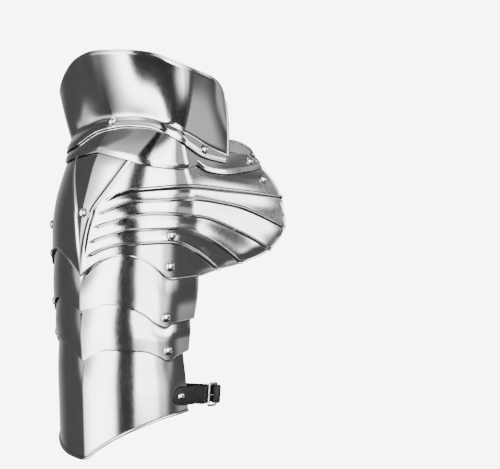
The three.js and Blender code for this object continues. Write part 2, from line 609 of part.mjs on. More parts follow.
const smooth = (points, count) =>
  new THREE.CatmullRomCurve3(points, false, 'centripetal').getPoints(count);
const LEVEL_0 = PLAY + STRAP_T / 2; // middle of a strap lying on the steel
const LEVEL_1 = STRAP_T + PLAY; // step from one strap to the next lying on it
const strapUp = (at) => mix(-0.526, -0.546, (at - 0.7) / 0.2);
const onLame = (at) => lifted(at, strapUp(Math.abs(at)), LEVEL_0, false);

// The buckle stands where the front strap leaves the body. Its own axes: along, up, out.
const buckleAt = V(0.293, -0.993, -1.313).multiplyScalar(TUBE);
const alongStrap = V(19, 3.6, -3.2).normalize();
const upStrap = V(0, 0, 1).addScaledVector(alongStrap, -alongStrap.z).normalize();
const outStrap = new THREE.Vector3().crossVectors(alongStrap, upStrap).normalize();
const local = (s, w, o) => buckleAt.clone().addScaledVector(alongStrap, s)
  .addScaledVector(upStrap, w).addScaledVector(outStrap, o);
// Across the strap: square to the buckle beside it, upright elsewhere
const acrossStrap = (p) => upStrap.clone().lerp(V(0, 0, 1), ease(p.distanceTo(buckleAt) / 30 - 0.6));
// The way round the inside of the arm, as shares of TUBE
const ROUND_ARM = [
  { out: 0.440, side: 0.945, up: -1.352 }, { out: 0.487, side: 0.845, up: -1.375 },
  { out: 0.510, side: 0.690, up: -1.400 }, { out: 0.525, side: 0.453, up: -1.430 },
  { out: 0.493, side: 0.160, up: -1.447 }, { out: 0.400, side: -0.187, up: -1.433 },
  { out: 0.253, side: -0.533, up: -1.387 }, { out: 0.080, side: -0.840, up: -1.313 },
  { out: -0.053, side: -0.991, up: -1.251 },
];
const roundArm = ROUND_ARM.map((r) => V(r.out * TUBE, -r.side * TUBE, r.up * TUBE));
const backPath = smooth([local(FRAME_L / 2 + 3, 0, LEVEL_1), ...roundArm,
  ...[-0.88, -0.83, -0.78, -0.735].map(onLame)], 28);
// The front strap ends under the back strap, set in by one step
const inside = (i) => {
  const d = backPath[i + 1].clone().sub(backPath[Math.max(i - 1, 0)]);
  const out = acrossStrap(backPath[i]).cross(d).normalize();
  return backPath[i].clone().addScaledVector(out, LEVEL_1 + PLAY);
};
const offPlate = V(0, -1.021, -1.244).multiplyScalar(TUBE); // where the strap leaves the plate
const frontPath = smooth([...[0.735, 0.78, 0.83, 0.88].map(onLame), offPlate,
  local(-12, 0, 0), local(0, 0, 0), local(5, 0, 0)], 20).concat([1, 2, 3, 4].map(inside));
const tipWidth = (count) => (i) => STRAP_W * [0.55, 0.9, 1][Math.min(i, count - i, 2)];
const frontStrap = sweep(frontPath, acrossStrap, tipWidth(frontPath.length - 1), STRAP_T);
add('strap_front', cut(frontStrap, tools.strap_front), LEATHER_LOOK);

// Back strap: a fold round the hinge bar, then round the inside of the arm to the back end
const HINGE_S = FRAME_L / 2;
const FOLD_R = WIRE_R + 2.5 * PLAY + STRAP_T / 2;
const HINGE_OUT = LEVEL_1 + FOLD_R;
const BAR_OUT = STRAP_T / 2 + PLAY + WIRE_R;
const TAIL_OUT = LEVEL_1 * 2 + PLAY; // the fold's loose end lies on the back strap
const fold = [local(HINGE_S + 6.5, 0, TAIL_OUT), local(HINGE_S + 4, 0, TAIL_OUT + 1.2),
  local(HINGE_S + 2, 0, TAIL_OUT + 2.6)];
for (let i = 0; i <= 6; i++) {
  const t = Math.PI / 2 + (Math.PI * i) / 6;
  fold.push(local(HINGE_S + FOLD_R * Math.cos(t), 0, HINGE_OUT + FOLD_R * Math.sin(t)));
}
const backLine = fold.concat(backPath);
const backWidth = (i) => STRAP_W * (i === 0 ? 0.8 : i === backLine.length - 1 ? 0.55 : 1);
const NOTCH = { long: 9, wide: 5, deep: 9 }; // slot in the fold for the tongue's eye
const notch = new THREE.BoxGeometry(NOTCH.long, NOTCH.wide, NOTCH.deep);
notch.applyMatrix4(new THREE.Matrix4().makeBasis(alongStrap, upStrap, outStrap));
const notchAt = local(HINGE_S - 1.2, 0, HINGE_OUT);
notch.translate(notchAt.x, notchAt.y, notchAt.z);
const backStrap = sweep(backLine, acrossStrap, backWidth, STRAP_T);
add('strap_back', cut(backStrap, [...tools.strap_back, notch]), LEATHER_LOOK);

// Round wire along a closed or open line
function wire(points, r, closed, sides = 8) {
  const n = points.length;
  const flat = [];
  const index = [];
  let across0 = null;
  points.forEach((p, i) => {
    const next = points[closed ? (i + 1) % n : Math.min(i + 1, n - 1)];
    const prev = points[closed ? (i + n - 1) % n : Math.max(i - 1, 0)];
    const d = next.clone().sub(prev).normalize();
    const a = (across0 ?? outStrap).clone();
    a.addScaledVector(d, -a.dot(d)).normalize();
    across0 = outStrap;
    const b = new THREE.Vector3().crossVectors(d, a);
    for (let k = 0; k < sides; k++) {
      const t = (2 * Math.PI * k) / sides;
      const q = p.clone().addScaledVector(a, r * Math.cos(t)).addScaledVector(b, r * Math.sin(t));
      flat.push(q.x, q.y, q.z);
    }
  });
  const last = closed ? n : n - 1;
  for (let i = 0; i < last; i++) {
    for (let k = 0; k < sides; k++) {
      const [a, b] = [i * sides + k, i * sides + ((k + 1) % sides)];
      const [c, d] = [((i + 1) % n) * sides + k, ((i + 1) % n) * sides + ((k + 1) % sides)];
      index.push(a, d, c, a, b, d);
    }
  }
  if (!closed) {
    for (let k = 1; k < sides - 1; k++) {
      index.push(0, k + 1, k);
      const e = (n - 1) * sides;
      index.push(e, e + k, e + k + 1);
    }
  }
  return solid(flat, index);
}
// Buckle frame: a rounded oblong lying on the front strap, its hinge bar lifted by the fold
const FRAME_HALF = STRAP_W / 2 + 3 * PLAY + WIRE_R;
const CORNER = 1.5;
const framePoints = [];
for (const [cs, cw, start] of [[1, 1, 0], [-1, 1, 1], [-1, -1, 2], [1, -1, 3]]) {
  for (let i = 0; i <= 3; i++) {
    const t = (Math.PI / 2) * (start + i / 3);
    const s = cs * (FRAME_L / 2 - CORNER) + CORNER * Math.cos(t);
    const w = cw * (FRAME_HALF - CORNER) + CORNER * Math.sin(t);
    framePoints.push(local(s, w, mix(BAR_OUT, HINGE_OUT, s / FRAME_L + 0.5)));
  }
}
add('buckle_frame', wire(framePoints, WIRE_R, true), RIVET_LOOK);
// Tongue: an eye round the hinge bar and a pin resting on the far bar
const EYE_R = 2.6;
const EYE_IN = WIRE_R + PLAY;
const eye = turned([[EYE_IN, -1.6], [EYE_R, -1.6], [EYE_R, 1.6], [EYE_IN, 1.6], [EYE_IN, -1.6]],
  local(HINGE_S, 0, HINGE_OUT), upStrap, 12);
const PIN_R = 0.8;
const restOut = BAR_OUT + WIRE_R + PLAY + PIN_R;
const pin = wire([local(HINGE_S - EYE_IN - 0.6, 0, HINGE_OUT), local(-HINGE_S, 0, restOut),
  local(-HINGE_S - 2.6, 0, restOut - 0.5)], PIN_R, false);
add('buckle_tongue', fromManifold(toManifold(eye).add(toManifold(pin))), RIVET_LOOK);

export default group;
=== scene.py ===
# Polished steel pauldron: plates, lames, rivets and a buckled strap, worn at the shoulder.
import math

import bpy
import numpy as np
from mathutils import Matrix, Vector


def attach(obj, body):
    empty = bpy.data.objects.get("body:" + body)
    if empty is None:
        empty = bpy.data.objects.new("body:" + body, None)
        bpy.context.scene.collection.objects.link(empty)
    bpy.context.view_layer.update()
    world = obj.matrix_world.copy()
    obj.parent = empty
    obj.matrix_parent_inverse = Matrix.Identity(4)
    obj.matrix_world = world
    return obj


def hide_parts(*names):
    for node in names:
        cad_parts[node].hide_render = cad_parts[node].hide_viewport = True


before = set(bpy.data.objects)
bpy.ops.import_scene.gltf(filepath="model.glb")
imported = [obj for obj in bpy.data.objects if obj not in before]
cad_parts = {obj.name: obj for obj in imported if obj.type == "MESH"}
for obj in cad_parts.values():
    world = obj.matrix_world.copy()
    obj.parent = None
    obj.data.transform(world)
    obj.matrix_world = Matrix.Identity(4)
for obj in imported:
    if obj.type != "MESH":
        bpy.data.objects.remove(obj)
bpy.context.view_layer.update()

# Sizes in millimetres, as in the solid model
# the form: height, radius of the arm, length of one share of a wing
RISE, TUBE, REACH = 167.0, 75.0, 100.0
# the sheet, the gaps between plates (nested, lapped, nested at the keel) and the play of rivets
STEEL, NEST, LAP, NEST_KEEL, PLAY = 1.3, 0.8, 1.5, 2.2, 0.3
# the frame's origin on the form
SEAT_UP, SEAT_OUT = 150.0, -4.0
HEAD_R, HEAD_H, TAIL_R, TAIL_H, SHANK_R = 4.4, 2.9, 3.1, 1.0, 2.0
# heights off the plate and half width
FLUTE_H, FLUTE_HALF, RIDGE_H = 1.9, 2.6, 1.1
STRAP_W, STRAP_T, WIRE_R, FRAME_L = 16.6, 2.4, 1.2, 10.0
# how far the side rivets stand off the form
PROUD = 1.0

SHIFT = np.array([-SEAT_OUT, 0.0, -SEAT_UP])


# Curves and small helpers
def curve(rows, a=0, b=1):
    """Smooth curve through the rows that never overshoots them."""
    x = np.array([r[a] for r in rows], float)
    y = np.array([r[b] for r in rows], float)
    s = np.diff(y) / np.diff(x)
    m = np.empty(len(x))
    m[0], m[-1] = s[0], s[-1]
    p = s[:-1] * s[1:]
    with np.errstate(divide="ignore", invalid="ignore"):
        m[1:-1] = np.where(p <= 0, 0.0, 2 * p / (s[:-1] + s[1:]))

    def at(q):
        q = np.clip(np.asarray(q, float), x[0], x[-1])
        i = np.clip(np.searchsorted(x, q, side="right") - 1, 0, len(x) - 2)
        h = x[i + 1] - x[i]
        t = (q - x[i]) / h
        t2, t3 = t * t, t * t * t
        return ((2 * t3 - 3 * t2 + 1) * y[i] + (t3 - 2 * t2 + t) * h * m[i]
                + (3 * t2 - 2 * t3) * y[i + 1] + (t3 - t2) * h * m[i + 1])
    return at


def softened(fn, lo, hi, width, count=1600):
    """fn with its bends rounded over about width, for even reflections."""
    x = np.linspace(lo, hi, count)
    y = fn(x)
    step = x[1] - x[0]
    n = max(int(3 * width / step), 1)
    k = np.exp(-0.5 * (np.arange(-n, n + 1) * step / width) ** 2)
    k /= k.sum()
    head = 2 * y[0] - y[n:0:-1]
    tail = 2 * y[-1] - y[-2:-n - 2:-1]
    z = np.convolve(np.concatenate([head, y, tail]), k, mode="valid")
    return lambda q: np.interp(q, x, z)


def ease(t):
    """Smooth step from 0 to 1."""
    c = np.clip(t, 0, 1)
    return c * c * (3 - 2 * c)


def mix(a, b, t):
    return a + (b - a) * t


def unit(v):
    return v / np.maximum(np.linalg.norm(v, axis=-1, keepdims=True), 1e-12)


# The shoulder form
# up, keel, side of the front half, side of the back half
FORM = [
    (-0.90, 0.953, 1.020, 1.020), (-0.36, 0.953, 1.027, 1.027), (-0.12, 0.973, 1.047, 1.047),
    (0.12, 0.953, 1.080, 1.080), (0.33, 0.933, 1.080, 1.080), (0.48, 0.887, 1.040, 1.040),
    (0.63, 0.760, 0.967, 0.960), (0.75, 0.647, 0.900, 0.860), (0.84, 0.513, 0.853, 0.770),
    (0.91, 0.360, 0.800, 0.660), (0.96, 0.260, 0.707, 0.520), (1.02, 0.100, 0.400, 0.293),
]
KEEL_FLAT = 0.22
# up, flare, run
WING = [
    (0.03, 0.13, 0.80), (0.18, 0.37, 0.80), (0.33, 0.40, 1.09), (0.51, 0.40, 1.49),
    (0.62, 0.36, 1.55), (0.72, 0.19, 1.60), (0.81, 0.08, 1.60), (1.02, 0.03, 1.60),
]
WING_START, WING_CURVE = -20.0, 1.6
SOFT_UP = 0.028
FORM_LOW, WING_LOW, FORM_TOP = -0.95, -0.3, 1.02
keel_at, side_at, back_at = (softened(curve(FORM, 0, k), FORM_LOW, FORM_TOP, SOFT_UP) for k in (1, 2, 3))
flare_at, run_at = (softened(curve(WING, 0, k), WING_LOW, FORM_TOP, SOFT_UP) for k in (1, 2))


def form_point(at, up, winged=True):
    """Point of the form: at is the share round the arm, positive in front, up the height over RISE."""
    at, up = np.broadcast_arrays(np.asarray(at, float), np.asarray(up, float))
    a = np.abs(at)
    s = np.minimum(a, 1)
    turn = s * math.pi / 2
    over = np.maximum(a - 1, 0) * REACH
    x = -keel_at(up) * TUBE * ((1 - KEEL_FLAT) * np.cos(turn) + KEEL_FLAT * (1 - s)) + over
    y = np.where(at < 0, back_at(up), side_at(up)) * TUBE * np.sin(turn)
    if winged:
        t = np.maximum(x - WING_START, 0) / (run_at(up) * TUBE)
        y = y + flare_at(up) * TUBE * (1 - np.exp(-(t ** WING_CURVE)))
    return np.stack([x, np.where(at < 0, y, -y), up * RISE], -1)


def form_normal(at, up, winged=True):
    """Direction out of the form at that point."""
    at, up = np.broadcast_arrays(np.asarray(at, float), np.asarray(up, float))
    da, du = 0.012, 0.008
    side = np.where(at < 0, -1.0, 1.0)
    a = np.maximum(np.abs(at), da)
    round_ = form_point(side * (a + da), up, winged) - form_point(side * (a - da), up, winged)
    rise = form_point(side * a, up + du, winged) - form_point(side * a, up - du, winged)
    return unit(np.cross(round_, rise)) * side[..., None]


def lifted(at, up, out, winged=True):
    """Point out mm off the form."""
    p = form_point(at, up, winged)
    return p + form_normal(at, up, winged) * np.asarray(out, float)[..., None]


# Meshes
def make_object(name, verts, faces, body, material, slot, nodes, sharp=40):
    me = bpy.data.meshes.new(name)
    me.from_pydata([tuple((v + SHIFT) / 1000.0) for v in verts], [], faces)
    me.validate()
    me.update()
    ob = bpy.data.objects.new(name, me)
    bpy.context.scene.collection.objects.link(ob)
    me.materials.append(material)
    me.polygons.foreach_set("use_smooth", [True] * len(me.polygons))
    me.set_sharp_from_angle(angle=math.radians(sharp))
    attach(ob, body)
    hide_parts(*nodes)
    return ob


# A plate's edge: rows between its two faces, and how far it bulges, in sheets
EDGE_STEPS, EDGE_ROUND = 3, 0.42


class Shape:
    """Vertices and faces gathered from several simple forms."""

    def __init__(self):
        self.v, self.f, self.n = [], [], 0

    def add(self, verts, faces):
        self.v.append(np.asarray(verts, float).reshape(-1, 3))
        self.f += [tuple(i + self.n for i in f) for f in faces]
        self.n += len(self.v[-1])

    def grid(self, g, wrap=False):
        """Faces over rows and columns of points."""
        r, c = g.shape[:2]
        faces = []
        for i in range(r - 1):
            for j in range(c if wrap else c - 1):
                k = (j + 1) % c
                faces.append((i * c + j, i * c + k, (i + 1) * c + k, (i + 1) * c + j))
        self.add(g.reshape(-1, 3), faces)

    def plate(self, outer):
        """A sheet with an outer and an inner face and a rounded edge all round."""
        a = np.gradient(outer, axis=1)
        b = np.gradient(outer, axis=0)
        n = unit(np.cross(a, b))
        inner = outer - n * STEEL
        r, c = outer.shape[:2]
        ring = ([(0, j) for j in range(c)] + [(i, c - 1) for i in range(1, r)]
                + [(r - 1, j) for j in range(c - 2, -1, -1)] + [(i, 0) for i in range(r - 2, 0, -1)])

        def idx(k, i, j):
            return k * r * c + i * c + j

        verts = [outer.reshape(-1, 3), inner.reshape(-1, 3)]
        faces = []
        for i in range(r - 1):
            for j in range(c - 1):
                faces.append((idx(0, i, j), idx(0, i, j + 1), idx(0, i + 1, j + 1), idx(0, i + 1, j)))
                faces.append((idx(1, i, j), idx(1, i + 1, j), idx(1, i + 1, j + 1), idx(1, i, j + 1)))
        ro = np.array([outer[i, j] for i, j in ring])
        rn = np.array([n[i, j] for i, j in ring])
        tangent = unit(np.roll(ro, -1, 0) - np.roll(ro, 1, 0))
        away = unit(np.cross(tangent, rn))
        base = 2 * r * c
        m = len(ring)
        for s in range(1, EDGE_STEPS + 1):
            t = math.pi * s / (EDGE_STEPS + 1)
            verts.append(ro - rn * (STEEL / 2) * (1 - math.cos(t))
                         + away * (STEEL * EDGE_ROUND) * math.sin(t))
        loops = [[idx(0, i, j) for i, j in ring]]
        loops += [[base + s * m + k for k in range(m)] for s in range(EDGE_STEPS)]
        loops.append([idx(1, i, j) for i, j in ring])
        for p, q in zip(loops, loops[1:]):
            for k in range(m):
                l = (k + 1) % m
                faces.append((p[k], q[k], q[l], p[l]))
        self.add(np.concatenate(verts), faces)

    def tube(self, path, r, sides, closed=False, up=(0, 0, 1)):
        """Round wire along a path."""
        p = np.asarray(path, float)
        n = len(p)
        d = unit((np.roll(p, -1, 0) - np.roll(p, 1, 0)) if closed else np.gradient(p, axis=0))
        ref = np.broadcast_to(np.asarray(up, float), p.shape)
        a = unit(ref - d * (ref * d).sum(-1, keepdims=True))
        b = np.cross(d, a)
        t = np.arange(sides) * 2 * math.pi / sides
        rr = np.broadcast_to(np.asarray(r, float), (n,))
        g = (p[:, None] + rr[:, None, None] * (a[:, None] * np.cos(t)[None, :, None]
                                               + b[:, None] * np.sin(t)[None, :, None]))
        if closed:
            g = np.concatenate([g, g[:1]])
        self.grid(g[:, ::-1], wrap=True)
        if not closed:
            k = self.n - g.shape[0] * sides
            self.f.append(tuple(k + j for j in range(sides)))
            self.f.append(tuple(self.n - 1 - j for j in range(sides)))

    def turned(self, profile, at, axis, sides=28):
        """A lathe form from (radius, height) rows."""
        at, axis = np.asarray(at, float), unit(np.asarray(axis, float))
        q = Vector((0, 0, 1)).rotation_difference(Vector(axis))
        ex, ey = np.array(q @ Vector((1, 0, 0))), np.array(q @ Vector((0, 1, 0)))
        t = np.arange(sides) * 2 * math.pi / sides
        ring = np.cos(t)[:, None] * ex + np.sin(t)[:, None] * ey
        g = np.array([at + axis * h + ring * r for r, h in profile])
        self.grid(g, wrap=True)

    def object(self, name, body, material, slot, nodes, **kw):
        return make_object(name, np.concatenate(self.v), self.f, body, material, slot, nodes, **kw)


# Materials
def nodes_of(mat):
    """An empty node tree with a Principled shader on its output."""
    mat.use_nodes = True
    nt = mat.node_tree
    nt.nodes.clear()
    out = nt.nodes.new("ShaderNodeOutputMaterial")
    bsdf = nt.nodes.new("ShaderNodeBsdfPrincipled")
    nt.links.new(bsdf.outputs[0], out.inputs[0])
    return nt, bsdf


def two_stops(ramp, first, last):
    """Places and grey levels of a colour ramp's two ends."""
    for stop, (place, shade) in zip(ramp.color_ramp.elements, (first, last)):
        stop.position = place
        stop.color = (*shade, 1)


# Painted shade in crevices, a dark line darkened into the colour: reach in metres, openness where it is
# full and where it ends, and its grey
CREVICE_REACH, SHADE_FROM, SHADE_TO, SHADE_GREY = 0.0020, 0.45, 0.92, 0.07
# Scale of the wear in the gloss against the clouding
FINER = 9


def steel(name, dark, light, rough, wear, scale=60, brushed=0.0):
    """Polished bare steel: faint clouding in colour and gloss, and a dull dark line of painted shade in
    crevices.
    """
    mat = bpy.data.materials.new(name)
    nt, bsdf = nodes_of(mat)
    new, link = nt.nodes.new, nt.links.new
    bsdf.inputs["Metallic"].default_value = 1.0
    if brushed:
        bsdf.inputs["Anisotropic"].default_value = brushed
        around = new("ShaderNodeTangent")
        around.direction_type, around.axis = "RADIAL", "Z"
        link(around.outputs[0], bsdf.inputs["Tangent"])
    coord = new("ShaderNodeTexCoord")
    cloud = new("ShaderNodeTexNoise")
    cloud.inputs["Scale"].default_value = scale
    cloud.inputs["Detail"].default_value = 4
    link(coord.outputs["Object"], cloud.inputs["Vector"])
    ramp = new("ShaderNodeValToRGB")
    two_stops(ramp, (0.35, dark), (0.65, light))
    link(cloud.outputs["Fac"], ramp.inputs["Fac"])
    # painted shade where the plates lap and round the rivets: occlusion darkens the base colour
    crevice = new("ShaderNodeAmbientOcclusion")
    crevice.samples = 8
    crevice.inputs["Distance"].default_value = CREVICE_REACH
    painted_shade = new("ShaderNodeValToRGB")
    two_stops(painted_shade, (SHADE_FROM, (SHADE_GREY, SHADE_GREY, SHADE_GREY)), (SHADE_TO, (1, 1, 1)))
    link(crevice.outputs["AO"], painted_shade.inputs["Fac"])
    both = new("ShaderNodeMix")
    both.data_type, both.blend_type = "RGBA", "MULTIPLY"
    both.inputs["Factor"].default_value = 1
    link(ramp.outputs["Color"], both.inputs["A"])
    link(painted_shade.outputs["Color"], both.inputs["B"])
    link(both.outputs["Result"], bsdf.inputs["Base Color"])
    fine = new("ShaderNodeTexNoise")
    fine.inputs["Scale"].default_value = scale * FINER
    fine.inputs["Detail"].default_value = 3
    link(coord.outputs["Object"], fine.inputs["Vector"])
    gloss = new("ShaderNodeMapRange")
    gloss.inputs["From Min"].default_value, gloss.inputs["From Max"].default_value = 0.3, 0.7
    gloss.inputs["To Min"].default_value, gloss.inputs["To Max"].default_value = rough, rough + wear
    link(fine.outputs["Fac"], gloss.inputs["Value"])
    link(gloss.outputs["Result"], bsdf.inputs["Roughness"])
    return mat


def leather(name):
    """Black strap leather with a fine grain."""
    mat = bpy.data.materials.new(name)
    nt, bsdf = nodes_of(mat)
    new, link = nt.nodes.new, nt.links.new
    bsdf.inputs["Specular IOR Level"].default_value = 0.15
    coord = new("ShaderNodeTexCoord")
    grain = new("ShaderNodeTexVoronoi")
    grain.inputs["Scale"].default_value = 900
    cloud = new("ShaderNodeTexNoise")
    cloud.inputs["Scale"].default_value = 120
    cloud.inputs["Detail"].default_value = 5
    link(coord.outputs["Object"], grain.inputs["Vector"])
    link(coord.outputs["Object"], cloud.inputs["Vector"])
    ramp = new("ShaderNodeValToRGB")
    two_stops(ramp, (0, (0.006, 0.006, 0.006)), (1, (0.022, 0.020, 0.019)))
    link(cloud.outputs["Fac"], ramp.inputs["Fac"])
    link(ramp.outputs["Color"], bsdf.inputs["Base Color"])
    gloss = new("ShaderNodeMapRange")
    gloss.inputs["To Min"].default_value, gloss.inputs["To Max"].default_value = 0.38, 0.62
    link(cloud.outputs["Fac"], gloss.inputs["Value"])
    link(gloss.outputs["Result"], bsdf.inputs["Roughness"])
    bump = new("ShaderNodeBump")
    bump.inputs["Strength"].default_value = 0.35
    bump.inputs["Distance"].default_value = 0.0003
    link(grain.outputs["Distance"], bump.inputs["Height"])
    link(bump.outputs["Normal"], bsdf.inputs["Normal"])
    return mat


PLATE = steel("plate_steel", (0.62, 0.625, 0.64), (0.68, 0.685, 0.70), 0.080, 0.04, brushed=0.65)
FITTING = steel("fitting_steel", (0.55, 0.55, 0.56), (0.72, 0.72, 0.73), 0.10, 0.08, 200)
LEATHER = leather("black_leather")

# Edges of the plates, as (at, up) rows
LUG = 0.665
MAIN_EDGE = [(0, 0.139), (0.08, 0.193), (0.18, 0.239), (0.316, 0.265), (0.464, 0.245),
             (0.6, 0.175), (LUG, 0.129), (0.766, 0.130), (0.986, 0.132)]
LAME_1_EDGE = [(0, -0.048), (0.1, -0.022), (0.216, -0.005), (0.341, -0.014), (0.47, -0.054),
               (0.6, -0.122), (LUG, -0.142), (0.736, -0.117), (0.95, -0.110)]
LAME_2_EDGE = [(0, -0.329), (0.085, -0.291), (0.22, -0.258), (0.362, -0.259), (0.504, -0.268),
               (0.6, -0.297), (0.69, -0.329), (0.766, -0.306), (0.9, -0.283)]
LOWER_EDGE = [(-0.9, -0.845), (-0.5, -0.887), (-0.28, -0.903), (-0.1, -0.898), (0, -0.888),
              (0.1, -0.832), (0.278, -0.744), (0.493, -0.675), (0.673, -0.640), (0.9, -0.626)]
LAME_1_TOP = [(0, 0.255), (0.3, 0.325), (0.5, 0.300), (0.7, 0.240), (1.1, 0.205)]
LAME_2_TOP = [(0, 0.010), (0.25, 0.054), (0.45, 0.015), (LUG, -0.036), (1, -0.048)]
LOWER_TOP = [(0, -0.262), (0.25, -0.200), (0.45, -0.203), (LUG, -0.225), (1, -0.215)]
main_edge, lame_1_edge, lame_2_edge, lower_edge = map(
    curve, (MAIN_EDGE, LAME_1_EDGE, LAME_2_EDGE, LOWER_EDGE))
lame_1_top, lame_2_top, lower_top = map(curve, (LAME_1_TOP, LAME_2_TOP, LOWER_TOP))


TUCK_HALF = 0.6


def tuck(at):
    """Depth of a lame under the plate above it, more at the keel than at the sides."""
    s = np.maximum(TUCK_HALF - np.abs(at), 0) / TUCK_HALF
    return STEEL + NEST + (NEST_KEEL - NEST) * s * s


# Lower edges of the upper lame and the flange, bent in to lie close on the plate below
SNUG, SNUG_ROWS = 1.0, 4.0


def snug(mm):
    """Depth of the bend at a distance in mm from the edge."""
    return SNUG * (1 - ease(mm / SNUG_ROWS))


# Rivets
def rivet(shape, at, axis, depth, head=1.0):
    """A domed head outside, a shank and a flat tail inside."""
    tail = -depth - PLAY
    dome = [(HEAD_R * head * math.sin(t), PLAY + HEAD_H * head * math.cos(t))
            for t in np.linspace(0.02, math.pi / 2, 9)]
    rows = [(0.001, tail - TAIL_H), (TAIL_R * 0.85, tail - TAIL_H), (TAIL_R, tail - TAIL_H * 0.6),
            (TAIL_R, tail), (SHANK_R, tail), (SHANK_R, 0), (HEAD_R * head * 0.96, 0)]
    shape.turned(rows + dome[::-1], at, axis)


PAIR = 2 * STEEL + NEST + PLAY
LAPPED = 2 * STEEL + LAP + PLAY
UPPER_OUT = STEEL + LAP
FLANGE_OUT = 2 * (STEEL + LAP)
ONE = STEEL + PROUD + PLAY
# name, at, up, out, depth, body, winged
RIVETS = [
    ("pivot_1", 0.682, 0.196, 0.4, PAIR, "shoulder", True),
    ("pivot_2", 0.660, -0.082, 0.0, PAIR, "lame_1", False),
    ("pivot_3", 0.682, -0.269, 0.0, PAIR, "lame_2", False),
    ("side", 0.694, 0.363, PROUD, ONE, "shoulder", True),
    ("upper", 1.875, 0.716, UPPER_OUT, LAPPED, "shoulder", True),
    ("chest", 1.963, 0.617, 0.3, ONE, "shoulder", True),
    ("strap", 0.790, -0.532, STRAP_T + PLAY, STRAP_T + 2 * PLAY + STEEL, "lower_lame", False),
]
STRAP_HEAD = 0.8       # smaller heads on the strap
for name, at, up, out, depth, body, winged in RIVETS:
    for end, side in (("front", 1), ("back", -1)):
        s = Shape()
        rivet(s, lifted(side * at, up, out, winged), form_normal(side * at, up, winged), depth,
              STRAP_HEAD if name == "strap" else 1.0)
        s.object(f"rivet_{name}_{end}_look", body, FITTING, "rivet_steel", [f"rivet_{name}_{end}"])
s = Shape()
KEEL_RIVET_UP, KEEL_RIVET_OUT = 0.480, 0.5
keel_n = form_normal(0.0, KEEL_RIVET_UP)
keel_n[1] = 0
rivet(s, form_point(0.0, KEEL_RIVET_UP) + unit(keel_n) * KEEL_RIVET_OUT, keel_n, ONE)
s.object("rivet_keel_look", "shoulder", FITTING, "rivet_steel", ["rivet_keel"])

# Main plate
# Ridge: half width in mm, lines over which it runs out below, radii of the form for one share round it
RIDGE_HALF, RIDGE_FADE, RIDGE_TURN = 3.6, 2.2, 1.4
# Flutes: mm over which they rise from their start, room and largest share for their rows between two
# lines, sharpness of the crest, and depth of the plate between two flutes
FLUTE_GROW, FLUTE_ROOM, FLUTE_SHARE, FLUTE_SHARP, HOLLOW = 9.0, 1.15, 0.34, 1.15, 0.35
# Rolled edge: radius at the wings' ends, radius below, and how far it hangs there
WING_ROLL, UNDER_ROLL, UNDER_DROP = 1.15, 0.9, 0.2
# end of the line, start of its flute, place of the ridge, and the line's (at, up) rows
FAN = [
    (2.020, 0.40, 0.375, [(0, 0.862), (0.5, 0.802), (1, 0.784), (1.5, 0.755), (1.9, 0.742),
                          (2.02, 0.700)]),
    (2.133, 0.169, 0.115, [(0, 0.515), (0.169, 0.551), (0.364, 0.604), (0.835, 0.620), (1.471, 0.574),
                           (2.133, 0.508)]),
    (2.070, 0.127, 0.077, [(0, 0.430), (0.127, 0.474), (0.416, 0.545), (0.823, 0.551), (1.437, 0.491),
                           (2.07, 0.331)]),
    (1.810, 0.100, 0.052, [(0, 0.358), (0.1, 0.402), (0.542, 0.481), (1.042, 0.444), (1.432, 0.346),
                           (1.81, 0.218)]),
    (1.421, 0.070, 0.034, [(0, 0.285), (0.07, 0.321), (0.386, 0.396), (0.709, 0.401), (1.072, 0.328),
                           (1.421, 0.171)]),
    (1.160, 0.051, 0.022, [(0, 0.208), (0.051, 0.244), (0.314, 0.322), (0.662, 0.330), (0.898, 0.272),
                           (1.16, 0.153)]),
    (0.986, 0.040, 0.018, MAIN_EDGE),
]
LINES = len(FAN)
FLUTED = LINES - 2
line_up = [softened(curve(f[3]), 0, f[0], 0.03) for f in FAN]
DENSE = 2
LEAST = 0.006
# Columns: keel, ridge, flute start, wing edge, as 0, 1, 2, 3
BY_RIDGE = [0.92, 0.94, 0.955, 0.97, 0.985, 1, 1.05, 1.1, 1.16, 1.23]
COLS = np.concatenate([[0, 0.03], np.linspace(0.12, 0.9, 5 * DENSE), BY_RIDGE,
                       np.linspace(1.3, 2, 4 * DENSE), 2 + np.linspace(LEAST, 1, 40 * DENSE)])


def across(table, q):
    """Value of the table (column by line) at line position q for each column."""
    i = np.minimum(np.floor(q).astype(int), LINES - 2)
    t = q - i
    c = np.arange(table.shape[0])
    p0, p1, p2, p3 = (table[c, np.clip(i + k, 0, LINES - 1)] for k in (-1, 0, 1, 2))
    return p1 + 0.5 * t * (p2 - p0 + t * (2 * p0 - 5 * p1 + 4 * p2 - p3 + t * (3 * (p1 - p2) + p3 - p0)))


def hump(x):
    """1 at 0, falling smoothly to 0 at 1."""
    return 0.5 * (1 + np.cos(math.pi * np.clip(x, 0, 1)))


